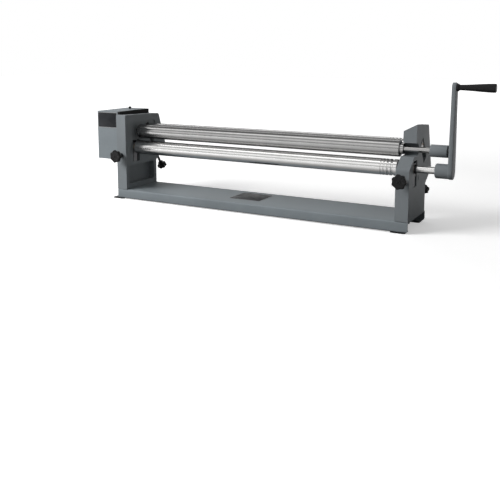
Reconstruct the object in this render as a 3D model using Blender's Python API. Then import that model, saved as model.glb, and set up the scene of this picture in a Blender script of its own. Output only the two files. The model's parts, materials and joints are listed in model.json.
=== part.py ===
"""Bench slip roll: three long rolls between two cast housings on a folded base.

Metres, +Z up. X runs along the rolls towards the crank and +Y points away from the operator.
The pieces are laid out from the bench under the middle of the base, and at the end the whole
machine is moved so that the origin is under the middle of its bounding box.
"""
import math

import bmesh
import bpy
from mathutils import Matrix, Vector

# Driving dimensions: rolls
ROLL_LENGTH = 1.270
ROLL_RADIUS = 0.0325
PINCH_GAP = 0.011
LOWER_AXIS_Y = -0.045
TOP_AXIS_Y = -0.025
TOP_AXIS_Z = 0.3155
REAR_AXIS_Y = 0.058
REAR_AXIS_Z = 0.315
JOURNAL_RADIUS = 0.0138
TOP_JOURNAL_RADIUS = 0.0112
REAR_JOURNAL_RADIUS = 0.0125
ROLL_EDGE = 0.002
STEP_RADIUS = 0.0215
STEP_LENGTH = 0.014
WIRE_GROOVE_RADII = (0.0024, 0.0032, 0.0040, 0.0048)
WIRE_GROOVE_LAND = 0.0075
WIRE_GROOVE_MARGIN = 0.016

# Clearances
CLEAR = 0.0003
RUNNING = 0.0004
ROLL_END_GAP = 0.012
OVERRUN = 0.004

# Base
BASE_DEPTH = 0.247
BASE_TOP = 0.046
BASE_SHEET = 0.004
BASE_LIP = 0.024
BASE_BEND = 0.007
BASE_CORNER = 0.010
FOOT_SHEET = 0.0037
FOOT_LENGTH = 0.060
FOOT_WIDTH = 0.044
FOOT_REACH = 0.032
FOOT_HOLE_RADIUS = 0.0055
FOOT_CORNER = 0.008

# Housings
HOUSING_WIDTH = 0.053
RIGHT_TOP_FRONT = 0.414
RIGHT_TOP_REAR = 0.3985
RIGHT_TOP_INNER = 0.386
LEFT_TOP_FRONT = 0.398
LEFT_TOP_FALL = 0.009
KNEE_Z = 0.247
LIP_Y = -0.062
UPPER_FRONT_Y = -0.036
TOP_REAR_Y = 0.139
SPINE_Y = 0.199
SPINE_Z = 0.211
WAIST_Y = 0.112
WAIST_Z = 0.162
CASTING_FILLET = 0.012
CASTING_EDGE = 0.0025
POCKET_DEPTH = 0.030
POCKET_BOTTOM = 0.070
POCKET_TOP = 0.157
POCKET_RIM = 0.019
POCKET_FILLET = 0.012
END_RECESS = 0.005
END_RECESS_TOP = 0.045
END_RECESS_FRONT = 0.051
OIL_SLOT_WIDTH = 0.008
OIL_SLOT_HEIGHT = 0.021
OIL_SLOT_DEPTH = 0.010
OIL_SLOT_ROUND_SHARE = 0.9
OIL_SLOT_Y = 0.002
OIL_SLOT_Z = 0.202

# Release sleeve and swivel bearing
SLEEVE_RADIUS = 0.024
SLEEVE_FIT = 0.001
SLEEVE_START = 0.0525
SLEEVE_LENGTH = 0.066
SLEEVE_CHAMFER = 0.002
CAP_LENGTH = 0.0075
CAP_RADIUS = 0.0235
TOP_SHAFT_TAIL = 0.006
BARREL_RADIUS = 0.018
BARREL_HEIGHT = 0.050
BARREL_X_SHIFT = -0.001
SWING_TILT = 0.14
SWING_SLOT_SIDE = 0.0016
SWING_SLOT_RISE = 0.0012
PLUG_SOCKET_RADIUS = 0.006
PLUG_SOCKET_DEPTH = 0.010

# Front blocks, wedges and screws
BLOCK_WIDTH = 0.050
BLOCK_TOP = 0.022
BLOCK_BOTTOM = 0.0225
FRONT_BUSH_RADIUS = 0.0165
LIFT = 0.010
WEDGE_SLOPE = 0.6
WEDGE_FLOOR = 0.172
FRONT_SCREW_Z = 0.2085
FRONT_SCREW_RADIUS = 0.005
FRONT_SCREW_COLLAR_RADIUS = 0.010
FRONT_SCREW_RING = 0.005
FRONT_SCREW_TIP_GAP = 0.002
FRONT_KNOB_RADIUS = 0.030
FRONT_KNOB_REACH = 0.052

# Rear blocks and screws
REAR_BLOCK = 0.044
REAR_BUSH_RADIUS = 0.0155
REAR_TILT = math.radians(55.3)
REAR_UP = 0.010
REAR_DOWN = 0.045
REAR_SCREW_RADIUS = 0.006
REAR_SCREW_LENGTH = 0.227
REAR_KNOB_RADIUS = 0.024

# Star knobs
KNOB_LOBES = 7
KNOB_STEPS = 4
KNOB_LOBE_DEPTH = 0.0036
KNOB_HEIGHT = 0.017
KNOB_ROUNDING = 0.005
KNOB_EASE_SHARE = 0.3
KNOB_HUB_RADIUS = 0.0125
KNOB_HUB_LENGTH = 0.013
KNOB_INSERT_DEPTH = 0.020

# Gears
GEAR_TEETH = 12
GEAR_WIDTH = 0.018
GEAR_TIP_RADIUS = 0.0390
GEAR_ROOT_RADIUS = 0.0262
GEAR_GAP_TO_HOUSING = 0.004
TOOTH_ROOT_SHARE = 0.40
TOOTH_TIP_SHARE = 0.12
GEAR_BACKLASH = math.radians(3)
GEAR_NUT_RADIUS = 0.019
GEAR_NUT_LENGTH = 0.010
WASHER_RADIUS = 0.022
WASHER_LENGTH = 0.003

# Gear guard
GUARD_WIDTH = 0.122
GUARD_FRONT_Y = -0.112
GUARD_BACK_Y = 0.115
GUARD_BOTTOM = 0.184
GUARD_RISE = 0.0106
GUARD_SHEET = 0.0025
GUARD_FLANGE = 0.016
LID_LIP = 0.009
LID_SCREW_INSET = 0.067
LID_SCREW_Y = 0.050
LID_SCREW_RADIUS = 0.007
LID_SCREW_SHARES = ((0, 0.6), (0.4, 0.6), (0.5, 1), (1.4, 1), (1.7, 0.7))
SEAL_DEPTH = 0.011
GUARD_SCREW_RADIUS = 0.003
GUARD_SCREW_HEAD = 0.0055
GUARD_SCREW_CROWN_SHARE = 0.7

# Crank
CRANK_SHAFT_REACH = 0.126
HUB_START = 0.0795
HUB_LENGTH = 0.0505
HUB_RADIUS = 0.0285
HUB_CHAMFER = 0.003
ARM_THICKNESS = 0.016
ARM_THROW = 0.3175
ARM_HUB_RADIUS = 0.030
ARM_TIP_RADIUS = 0.0185
ARM_EDGE = 0.002
COLLAR_RADIUS = 0.019
COLLAR_LENGTH = 0.008
SET_SCREW_RADIUS = 0.004
SPINDLE_RADIUS = 0.006
SPINDLE_HEAD_RADIUS = 0.0095
SPINDLE_HEAD_LENGTH = 0.006
GRIP_COLLAR_RADIUS = 0.0145
GRIP_COLLAR_LENGTH = 0.007
GRIP_LENGTH = 0.132
GRIP_NECK_RADIUS = 0.0105
GRIP_END_RADIUS = 0.0165
GRIP_ROUNDING = 0.004
GRIP_EASE_SHARE = 0.3

# Fasteners
BOLT_RADIUS = 0.006
BOLT_HEAD_RADIUS = 0.011
BOLT_HEAD_LENGTH = 0.0075
BOLT_DEPTH = 0.020
BOLT_SPREAD_Y = 0.084
BOLT_SPREAD_X = 0.013
BOLT_SIDES = 12

ROUND = 24
SMALL_ROUND = 16

# Places worked out from the dimensions
HALF_ROLL = ROLL_LENGTH / 2
INNER_X = HALF_ROLL + ROLL_END_GAP
OUTER_X = INNER_X + HOUSING_WIDTH
MIDDLE_X = (INNER_X + OUTER_X) / 2
GUARD_OUTER_X = OUTER_X + GUARD_WIDTH
LEFT_TOP_REAR = LEFT_TOP_FRONT - LEFT_TOP_FALL
GUARD_TOP = LEFT_TOP_FRONT + GUARD_RISE
FRONT_Y = -BASE_DEPTH / 2
HOUSING_BOTTOM = BASE_TOP + CLEAR
CENTRE_DISTANCE = 2 * ROLL_RADIUS + PINCH_GAP
LOWER_AXIS_Z = TOP_AXIS_Z - math.sqrt(CENTRE_DISTANCE ** 2 - (TOP_AXIS_Y - LOWER_AXIS_Y) ** 2)
SLOT_RADIUS = SLEEVE_RADIUS + SLEEVE_FIT
BARREL_X = -MIDDLE_X + BARREL_X_SHIFT
SWING_CENTRE = (BARREL_X, TOP_AXIS_Y, TOP_AXIS_Z)
SWING_AXIS = (0, SWING_TILT, 1)
GEAR_INNER_X = -OUTER_X - GEAR_GAP_TO_HOUSING
GEAR_OUTER_X = GEAR_INNER_X - GEAR_WIDTH
WEDGE_TRAVEL = LIFT / WEDGE_SLOPE
REAR_DIRECTION = Vector((0, -math.cos(REAR_TILT), math.sin(REAR_TILT)))
WINDOW_FRONT = LOWER_AXIS_Y - BLOCK_WIDTH / 2 - RUNNING
WINDOW_BACK = LOWER_AXIS_Y + BLOCK_WIDTH / 2 + RUNNING
WEDGE_END = WINDOW_BACK - RUNNING - WEDGE_TRAVEL


def clear_scene():
    for item in list(bpy.data.objects):
        bpy.data.objects.remove(item, do_unlink=True)


def material(name, colour, roughness, metallic):
    made = bpy.data.materials.new(name)
    made.use_nodes = True
    shader = made.node_tree.nodes["Principled BSDF"]
    shader.inputs["Base Color"].default_value = (*colour, 1)
    shader.inputs["Roughness"].default_value = roughness
    shader.inputs["Metallic"].default_value = metallic
    made.diffuse_color = (*colour, 1)
    return made


def axis_empty(name, place):
    """An empty on a joint's axis, which carries the pieces that move there."""
    empty = bpy.data.objects.new(name, None)
    empty.location = place
    bpy.context.scene.collection.objects.link(empty)
    return empty


def repeat(piece, name, place, turn=0):
    """Another copy of a piece, which shares its mesh."""
    twin = bpy.data.objects.new(name, piece.data)
    twin.location = place
    twin.rotation_euler = (0, 0, turn)
    bpy.context.scene.collection.objects.link(twin)
    return twin


def place_mesh(name, bm, finish, parent=None, matrix=None):
    """Makes an object of bm. The mesh is built in world places, and parenting keeps them."""
    if matrix is not None:
        bmesh.ops.transform(bm, matrix=matrix, verts=bm.verts)
    bmesh.ops.recalc_face_normals(bm, faces=bm.faces)
    if bm.calc_volume(signed=True) < 0:
        bmesh.ops.reverse_faces(bm, faces=bm.faces)
    if parent is not None:
        bmesh.ops.transform(bm, matrix=Matrix.Translation(-Vector(parent.location)), verts=bm.verts)
    mesh = bpy.data.meshes.new(name)
    bm.to_mesh(mesh)
    bm.free()
    mesh.shade_smooth()
    mesh.set_sharp_from_angle(angle=math.radians(32))
    piece = bpy.data.objects.new(name, mesh)
    if finish is not None:
        mesh.materials.append(finish)
    bpy.context.scene.collection.objects.link(piece)
    piece.parent = parent
    return piece


def fillet(outline, radii):
    """Rounds the corners of a polygon. radii holds one radius for each point, and 0 keeps it sharp."""
    points = []
    count = len(outline)
    for i, (corner, radius) in enumerate(zip(outline, radii)):
        here = Vector(corner)
        if radius == 0:
            points.append(here)
            continue
        before = (Vector(outline[i - 1]) - here).normalized()
        after = (Vector(outline[(i + 1) % count]) - here).normalized()
        half = before.angle(after) / 2
        centre = here + (before + after).normalized() * radius / math.sin(half)
        start = here + before * radius / math.tan(half) - centre
        end = here + after * radius / math.tan(half) - centre
        sweep = math.pi - 2 * half
        steps = max(2, round(math.degrees(sweep) / 18))
        for k in range(steps + 1):
            first = math.sin((1 - k / steps) * sweep) / math.sin(sweep)
            last = math.sin(k / steps * sweep) / math.sin(sweep)
            points.append(centre + start * first + end * last)
    return points


def prism_mesh(outline, low, high):
    """A prism along X of a Y-Z outline."""
    bm = bmesh.new()
    base = [bm.verts.new((low, y, z)) for y, z in outline]
    face = bm.faces.new(base)
    made = bmesh.ops.extrude_face_region(bm, geom=[face])
    moved = [v for v in made["geom"] if isinstance(v, bmesh.types.BMVert)]
    bmesh.ops.translate(bm, vec=(high - low, 0, 0), verts=moved)
    return bm


def cross_prism_mesh(outline, low, high):
    """A prism along Y of an X-Z outline."""
    bm = prism_mesh([(x, z) for x, z in outline], low, high)
    for vert in bm.verts:
        vert.co = (vert.co.y, vert.co.x, vert.co.z)
    return bm


def box_mesh(low, high):
    bm = bmesh.new()
    size = Vector(high) - Vector(low)
    middle = (Vector(high) + Vector(low)) / 2
    bmesh.ops.create_cube(bm, size=1, matrix=Matrix.Translation(middle) @ Matrix.Diagonal((*size, 1)))
    return bm


def turned_mesh(profile, segments=ROUND, bored=False):
    """A body turned about the X axis. profile holds (x, radius) pairs; a bored one closes on itself."""
    bm = bmesh.new()
    rings = []
    for x, radius in profile:
        turn = (2 * math.pi * k / segments for k in range(segments))
        rings.append([bm.verts.new((x, radius * math.cos(t), radius * math.sin(t))) for t in turn])
    pairs = list(zip(rings, rings[1:]))
    if bored:
        pairs.append((rings[-1], rings[0]))
    for first, second in pairs:
        for k in range(segments):
            n = (k + 1) % segments
            bm.faces.new((first[k], first[n], second[n], second[k]))
    if not bored:
        bm.faces.new(rings[0])
        bm.faces.new(rings[-1])
    return bm


def hexagon_mesh(stations, segments, bored=False):
    """Like turned_mesh, but a station (x, radius, True) is a hexagon with its corners at radius."""
    bm = bmesh.new()
    rings = []
    for x, radius, flat in stations:
        ring = []
        for k in range(segments):
            turn = 2 * math.pi * k / segments
            reach = radius
            if flat:
                reach = radius * math.cos(math.pi / 6) / math.cos(turn % (math.pi / 3) - math.pi / 6)
            ring.append(bm.verts.new((x, reach * math.cos(turn), reach * math.sin(turn))))
        rings.append(ring)
    pairs = list(zip(rings, rings[1:]))
    if bored:
        pairs.append((rings[-1], rings[0]))
    for first, second in pairs:
        for k in range(segments):
            n = (k + 1) % segments
            bm.faces.new((first[k], first[n], second[n], second[k]))
    if not bored:
        bm.faces.new(rings[0])
        bm.faces.new(rings[-1])
    return bm


def along(origin, direction):
    """The matrix that carries the X axis to a line through origin."""
    turn = Vector((1, 0, 0)).rotation_difference(Vector(direction).normalized())
    return Matrix.Translation(origin) @ turn.to_matrix().to_4x4()


def cutter(target, bm, matrix=None, operation="DIFFERENCE"):
    """Cuts the mesh bm out of target, or joins it on, with a Boolean that stays on the object."""
    name = "cutter_%s_%d" % (target.name, len(target.modifiers))
    tool = place_mesh(name, bm, None, None, matrix)
    tool.hide_render = True
    tool.display_type = "WIRE"
    cut = target.modifiers.new(name, "BOOLEAN")
    cut.operation = operation
    cut.solver = "EXACT"
    cut.object = tool
    return tool


def bevel(piece, width, segments=2, angle=50):
    edge = piece.modifiers.new("edge", "BEVEL")
    edge.width = width
    edge.segments = segments
    edge.limit_method = "ANGLE"
    edge.angle_limit = math.radians(angle)
    return edge


def rod_mesh(radius, low, high, segments=SMALL_ROUND):
    return turned_mesh([(low, radius), (high, radius)], segments)


def chamfered(low, high, radius, chamfer):
    """The outer profile of a plain round with chamfered ends."""
    return [(low, radius - chamfer), (low + chamfer, radius), (high - chamfer, radius), (high,
                                                                                         radius - chamfer)]


def base_channel(paint):
    """The folded channel, open below and at its ends, with inward lips under the front and back."""
    half = BASE_DEPTH / 2
    foot = FOOT_SHEET + CLEAR
    outside = fillet([(-half, foot), (-half, BASE_TOP), (half, BASE_TOP), (half, foot)],
                     (BASE_BEND, BASE_BEND, BASE_BEND, BASE_BEND))
    inner = half - BASE_SHEET
    lip = half - BASE_LIP
    inside = [(lip, foot), (lip, foot + BASE_SHEET), (inner, foot + BASE_SHEET),
              (inner, BASE_TOP - BASE_SHEET), (-inner, BASE_TOP - BASE_SHEET),
              (-inner, foot + BASE_SHEET), (-lip, foot + BASE_SHEET), (-lip, foot)]
    piece = place_mesh("base_channel", prism_mesh(outside + [Vector(p) for p in inside], -OUTER_X,
                                                  OUTER_X), paint)
    for x, y in bolt_places():
        cutter(piece, rod_mesh(BOLT_RADIUS + CLEAR, 0, BASE_SHEET + 2 * OVERRUN),
               along((x, y, BASE_TOP - BASE_SHEET - OVERRUN), (0, 0, 1)))
    corner = [(OUTER_X + OVERRUN, foot - OVERRUN), (OUTER_X + OVERRUN, foot + BASE_CORNER)]
    for k in range(7):
        turn = -math.pi / 2 * k / 6
        corner.append((OUTER_X - BASE_CORNER + BASE_CORNER * math.cos(turn),
                       foot + BASE_CORNER + BASE_CORNER * math.sin(turn)))
    corner.append((OUTER_X - BASE_CORNER, foot - OVERRUN))
    cutter(piece, cross_prism_mesh(corner, -half - OVERRUN, half + OVERRUN))
    return piece


def mounting_feet(steel):
    """Four foot plates under the lips; the left pair reaches out past the end of the base."""
    half = FOOT_WIDTH / 2
    outline = fillet([(0, -half), (FOOT_LENGTH, -half), (FOOT_LENGTH, half), (0, half)],
                     [FOOT_CORNER] * 4)
    bm = bmesh.new()
    add_plate_with_hole(bm, outline, (FOOT_REACH / 2, 0), FOOT_HOLE_RADIUS, 0, FOOT_SHEET)
    depth = BASE_DEPTH / 2 - half
    left = -OUTER_X - FOOT_REACH
    right = OUTER_X - BASE_CORNER
    first = place_mesh("foot_front_left", bm, steel)
    first.location = (left, -depth, 0)
    repeat(first, "foot_rear_left", (left, depth, 0))
    repeat(first, "foot_front_right", (right, -depth, 0), math.pi)
    repeat(first, "foot_rear_right", (right, depth, 0), math.pi)


def add_plate_with_hole(bm, outline, centre, radius, low, high):
    """A flat plate with one round hole, made by bridging the two edge loops at both faces."""
    hole = [(centre[0] + radius * math.cos(2 * math.pi * k / SMALL_ROUND),
             centre[1] + radius * math.sin(2 * math.pi * k / SMALL_ROUND)) for k in range(SMALL_ROUND)]
    rings = []
    for z in (low, high):
        outer = [bm.verts.new((x, y, z)) for x, y in outline]
        inner = [bm.verts.new((x, y, z)) for x, y in hole]
        edges = [bm.edges.new((ring[k], ring[(k + 1) % len(ring)]))
                 for ring in (outer, inner) for k in range(len(ring))]
        bmesh.ops.triangle_fill(bm, use_beauty=True, edges=edges)
        rings.append((outer, inner))
    for below, above in zip(*rings):
        for k in range(len(below)):
            n = (k + 1) % len(below)
            bm.faces.new((below[k], below[n], above[n], above[k]))


def bolt_places():
    return [(side * MIDDLE_X + shift * BOLT_SPREAD_X, depth * BOLT_SPREAD_Y)
            for side in (-1, 1) for shift in (-1, 1) for depth in (-1, 1)]


def housing_bolts(steel):
    """Eight hexagon bolts, pointing up from under the base into the housings."""
    low = BASE_TOP - BASE_SHEET - CLEAR - BOLT_HEAD_LENGTH
    length = HOUSING_BOTTOM + BOLT_DEPTH - CLEAR - low
    stations = [(0, BOLT_HEAD_RADIUS, True), (BOLT_HEAD_LENGTH, BOLT_HEAD_RADIUS, True),
                (BOLT_HEAD_LENGTH, BOLT_RADIUS, False), (length, BOLT_RADIUS, False)]
    first = place_mesh("housing_bolt_1", hexagon_mesh(stations, BOLT_SIDES), steel, None, along((0, 0, 0),
                                                                                                (0, 0,
                                                                                                 1)))
    for number, (x, y) in enumerate(bolt_places(), 1):
        if number == 1:
            first.location = (x, y, low)
        else:
            repeat(first, "housing_bolt_%d" % number, (x, y, low))


def slot_arc(steps=10):
    """The round end of the open slot, from its floor to its roof."""
    arc = []
    for k in range(steps + 1):
        turn = -math.pi / 2 + math.pi * k / steps
        arc.append(Vector((TOP_AXIS_Y + SLOT_RADIUS * math.cos(turn),
                           TOP_AXIS_Z + SLOT_RADIUS * math.sin(turn))))
    return arc


def right_outline():
    floor = TOP_AXIS_Z - SLOT_RADIUS
    lower = fillet([(LIP_Y, floor), (FRONT_Y, KNEE_Z), (FRONT_Y, HOUSING_BOTTOM), (WAIST_Y,
                                                                                   HOUSING_BOTTOM),
                    (WAIST_Y, WAIST_Z), (SPINE_Y, SPINE_Z), (TOP_REAR_Y, RIGHT_TOP_REAR),
                    (UPPER_FRONT_Y, RIGHT_TOP_FRONT), (UPPER_FRONT_Y, TOP_AXIS_Z + SLOT_RADIUS)],
                   (0, CASTING_FILLET, 0, 0, CASTING_FILLET, CASTING_FILLET, CASTING_FILLET, CASTING_EDGE,
                    0))
    return slot_arc() + lower[::-1]


def left_outline():
    return fillet([(FRONT_Y, HOUSING_BOTTOM), (WAIST_Y, HOUSING_BOTTOM), (WAIST_Y, WAIST_Z), (SPINE_Y,
                                                                                              SPINE_Z),
                   (TOP_REAR_Y, LEFT_TOP_REAR), (FRONT_Y, LEFT_TOP_FRONT)],
                  (0, 0, CASTING_FILLET, CASTING_FILLET, CASTING_FILLET, CASTING_EDGE))


def pocket_mesh(side):
    """The lightening pocket in the inner face of a housing."""
    outline = fillet([(FRONT_Y + POCKET_RIM, POCKET_BOTTOM), (WAIST_Y - POCKET_RIM, POCKET_BOTTOM),
                      (WAIST_Y - POCKET_RIM, POCKET_TOP), (FRONT_Y + POCKET_RIM, POCKET_TOP)],
                     [POCKET_FILLET] * 4)
    ends = sorted((side * (INNER_X - OVERRUN), side * (INNER_X + POCKET_DEPTH)))
    return prism_mesh(outline, *ends)


def through(outline, side):
    """A prism through the whole width of a housing."""
    ends = sorted((side * (INNER_X - OVERRUN), side * (OUTER_X + OVERRUN)))
    return prism_mesh(outline, *ends)


def front_window(side):
    top = LOWER_AXIS_Z + BLOCK_TOP + LIFT + RUNNING
    return through([(WINDOW_FRONT, WEDGE_FLOOR), (WINDOW_BACK, WEDGE_FLOOR), (WINDOW_BACK, top),
                    (WINDOW_FRONT, top)],
                   side)


def rear_frame(point):
    """A place given along the rear slide and across it, in the Y-Z plane."""
    rise, across = point
    centre = Vector((REAR_AXIS_Y, REAR_AXIS_Z))
    up = Vector((REAR_DIRECTION.y, REAR_DIRECTION.z))
    side = Vector((up.y, -up.x))
    return centre + up * rise + side * across


def rear_window(side):
    half = REAR_BLOCK / 2 + RUNNING
    ends = (-REAR_BLOCK / 2 - REAR_DOWN - RUNNING, REAR_BLOCK / 2 + REAR_UP + RUNNING)
    return through([rear_frame(p) for p in ((ends[0], -half), (ends[0], half), (ends[1], half), (ends[1],
                                                                                                 -half))],
                   side)


def shared_cuts(piece, side):
    """The pockets, windows and bores that both housings have."""
    cutter(piece, pocket_mesh(side))
    cutter(piece, front_window(side))
    cutter(piece, rear_window(side))
    middle = side * MIDDLE_X
    cutter(piece, rod_mesh(FRONT_SCREW_RADIUS + RUNNING, 0, WINDOW_FRONT - FRONT_Y + 2 * OVERRUN),
           along((middle, FRONT_Y - OVERRUN, FRONT_SCREW_Z), (0, 1, 0)))
    start = Vector((middle, REAR_AXIS_Y,
                    REAR_AXIS_Z)) - REAR_DIRECTION * (REAR_BLOCK / 2 + REAR_DOWN - OVERRUN)
    cutter(piece, rod_mesh(REAR_SCREW_RADIUS + RUNNING, 0, REAR_SCREW_LENGTH / 2), along(start,
                                                                                         -REAR_DIRECTION))
    for x, y in bolt_places():
        if x * side > 0:
            cutter(piece, rod_mesh(BOLT_RADIUS + CLEAR, 0, BOLT_DEPTH + OVERRUN),
                   along((x, y, HOUSING_BOTTOM - OVERRUN), (0, 0, 1)))


def right_housing(paint):
    piece = place_mesh("right_housing", prism_mesh(right_outline(), INNER_X, OUTER_X), paint)
    shared_cuts(piece, 1)
    half = OIL_SLOT_WIDTH / 2
    rise = OIL_SLOT_HEIGHT / 2
    outline = fillet([(OIL_SLOT_Y - half, OIL_SLOT_Z - rise), (OIL_SLOT_Y + half, OIL_SLOT_Z - rise),
                      (OIL_SLOT_Y + half, OIL_SLOT_Z + rise), (OIL_SLOT_Y - half, OIL_SLOT_Z + rise)],
                     [half * OIL_SLOT_ROUND_SHARE] * 4)
    cutter(piece, prism_mesh(outline, OUTER_X - OIL_SLOT_DEPTH, OUTER_X + OVERRUN))
    rise = (RIGHT_TOP_FRONT - RIGHT_TOP_INNER) / (OUTER_X - INNER_X)
    slope = [(INNER_X - OVERRUN, RIGHT_TOP_INNER - rise * OVERRUN), (OUTER_X + OVERRUN,
                                                                     RIGHT_TOP_FRONT + rise * OVERRUN),
             (INNER_X - OVERRUN, RIGHT_TOP_FRONT + rise * OVERRUN)]
    cutter(piece, cross_prism_mesh(slope, UPPER_FRONT_Y - OVERRUN, SPINE_Y))
    return piece


def left_housing(paint):
    piece = place_mesh("left_housing", prism_mesh(left_outline(), -OUTER_X, -INNER_X), paint)
    shared_cuts(piece, -1)
    cutter(piece, rod_mesh(BARREL_RADIUS + CLEAR, -BARREL_HEIGHT / 2 - CLEAR,
                           LEFT_TOP_FRONT - TOP_AXIS_Z + BARREL_RADIUS, ROUND), along(SWING_CENTRE,
                                                                                      SWING_AXIS))
    wide = TOP_JOURNAL_RADIUS + SWING_SLOT_SIDE
    tall = TOP_JOURNAL_RADIUS + SWING_SLOT_RISE
    cutter(piece, through([(TOP_AXIS_Y - wide, TOP_AXIS_Z - tall), (TOP_AXIS_Y + wide, TOP_AXIS_Z - tall),
                           (TOP_AXIS_Y + wide, TOP_AXIS_Z + tall), (TOP_AXIS_Y - wide,
                                                                    TOP_AXIS_Z + tall)], -1))
    front = TOP_AXIS_Y - END_RECESS_FRONT
    back = REAR_AXIS_Y + END_RECESS_FRONT
    low = LOWER_AXIS_Z + ROLL_RADIUS
    high = TOP_AXIS_Z + END_RECESS_TOP
    outline = fillet([(front, low), (back, low), (back, high), (front, high)], [POCKET_FILLET] * 4)
    cutter(piece, prism_mesh(outline, -INNER_X - END_RECESS, -INNER_X + OVERRUN))
    return piece


def swivel_plug(steel):
    """The plug that closes the swivel bearing's bore, with a socket for a key."""
    low = BARREL_HEIGHT / 2 + CLEAR
    high = LEFT_TOP_REAR - TOP_AXIS_Z - BARREL_RADIUS * SWING_TILT
    profile = [(low, BARREL_RADIUS), (high, BARREL_RADIUS), (high, PLUG_SOCKET_RADIUS),
               (high - PLUG_SOCKET_DEPTH, PLUG_SOCKET_RADIUS)]
    return place_mesh("swivel_plug", turned_mesh(profile, ROUND), steel, None, along(SWING_CENTRE,
                                                                                     SWING_AXIS))


def swivel_barrel(bronze, parent):
    """The barrel that holds the top roll's left journal, in a bore that leans back a little."""
    half = BARREL_HEIGHT / 2
    body = turned_mesh(chamfered(-half, half, BARREL_RADIUS, ROLL_EDGE), ROUND)
    piece = place_mesh("swivel_barrel", body, bronze, parent, along(SWING_CENTRE, SWING_AXIS))
    cutter(piece, rod_mesh(TOP_JOURNAL_RADIUS + CLEAR, -2 * BARREL_RADIUS, 2 * BARREL_RADIUS, ROUND),
           Matrix.Translation(SWING_CENTRE))
    return piece


def groove_profile(start):
    """Wire grooves cut round a roll, from the first one's left edge."""
    profile = []
    x = start
    for radius in WIRE_GROOVE_RADII:
        for k in range(4):
            turn = math.pi * k / 3
            profile.append((x + radius - radius * math.cos(turn), ROLL_RADIUS - radius * math.sin(turn)))
        x += 2 * radius + WIRE_GROOVE_LAND
    return profile


def groove_span():
    return sum(2 * radius for radius in WIRE_GROOVE_RADII) + WIRE_GROOVE_LAND * (len(WIRE_GROOVE_RADII) - 1)


def roll_body(grooved):
    """The working face of a roll with eased ends, and wire grooves near its right end."""
    body = [(-HALF_ROLL, ROLL_RADIUS - ROLL_EDGE), (-HALF_ROLL + ROLL_EDGE, ROLL_RADIUS)]
    if grooved:
        body += groove_profile(HALF_ROLL - WIRE_GROOVE_MARGIN - groove_span())
    return body + [(HALF_ROLL - ROLL_EDGE, ROLL_RADIUS), (HALF_ROLL, ROLL_RADIUS - ROLL_EDGE)]


def shaft_end():
    """Where the left journals end, past the gear, its washer and its nut."""
    return GEAR_OUTER_X - WASHER_LENGTH - GEAR_NUT_LENGTH - 2 * CLEAR


def lower_roll(steel, parent):
    profile = [(shaft_end(), JOURNAL_RADIUS - ROLL_EDGE), (shaft_end() + ROLL_EDGE, JOURNAL_RADIUS),
               (-HALF_ROLL, JOURNAL_RADIUS), *roll_body(True), (HALF_ROLL, JOURNAL_RADIUS),
               (OUTER_X + CRANK_SHAFT_REACH - ROLL_EDGE, JOURNAL_RADIUS),
               (OUTER_X + CRANK_SHAFT_REACH, JOURNAL_RADIUS - ROLL_EDGE)]
    return place_mesh("lower_roll", turned_mesh(profile), steel, parent,
                      Matrix.Translation((0, LOWER_AXIS_Y, LOWER_AXIS_Z)))


def top_roll(steel, parent):
    tail = OUTER_X + SLEEVE_START + SLEEVE_LENGTH - TOP_SHAFT_TAIL
    profile = [(shaft_end(), TOP_JOURNAL_RADIUS - ROLL_EDGE), (shaft_end() + ROLL_EDGE,
                                                               TOP_JOURNAL_RADIUS),
               (-HALF_ROLL, TOP_JOURNAL_RADIUS), *roll_body(False), (HALF_ROLL, STEP_RADIUS),
               (HALF_ROLL + STEP_LENGTH, STEP_RADIUS), (HALF_ROLL + STEP_LENGTH, TOP_JOURNAL_RADIUS),
               (tail - ROLL_EDGE, TOP_JOURNAL_RADIUS), (tail, TOP_JOURNAL_RADIUS - ROLL_EDGE)]
    return place_mesh("top_roll", turned_mesh(profile), steel, parent,
                      Matrix.Translation((0, TOP_AXIS_Y, TOP_AXIS_Z)))


def rear_roll(steel, parent):
    end = OUTER_X - CASTING_EDGE
    profile = [(-end, REAR_JOURNAL_RADIUS), (-HALF_ROLL, REAR_JOURNAL_RADIUS), *roll_body(True),
               (HALF_ROLL, REAR_JOURNAL_RADIUS), (end, REAR_JOURNAL_RADIUS)]
    return place_mesh("rear_roll", turned_mesh(profile), steel, parent,
                      Matrix.Translation((0, REAR_AXIS_Y, REAR_AXIS_Z)))


def gear_outline(phase):
    """A coarse straight-flanked tooth outline, wide at the root and narrow at the tip."""
    pitch = 2 * math.pi / GEAR_TEETH
    outline = []
    for tooth in range(GEAR_TEETH):
        middle = phase + tooth * pitch
        for share, radius in ((-TOOTH_ROOT_SHARE / 2, GEAR_ROOT_RADIUS), (-TOOTH_TIP_SHARE / 2,
                                                                          GEAR_TIP_RADIUS),
                              (TOOTH_TIP_SHARE / 2, GEAR_TIP_RADIUS), (TOOTH_ROOT_SHARE / 2,
                                                                       GEAR_ROOT_RADIUS)):
            turn = middle + share * pitch
            outline.append(Vector((radius * math.cos(turn), radius * math.sin(turn))))
    return outline


def spur_gear(name, bore_radius, phase, axis, finish, parent):
    """A gear with a round bore that seats on its journal."""
    piece = place_mesh(name, prism_mesh(gear_outline(phase), GEAR_OUTER_X, GEAR_INNER_X), finish, parent,
                       Matrix.Translation((0, *axis)))
    cutter(piece, rod_mesh(bore_radius + CLEAR, GEAR_OUTER_X - OVERRUN, GEAR_INNER_X + OVERRUN, ROUND),
           Matrix.Translation((0, *axis)))
    return piece


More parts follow.
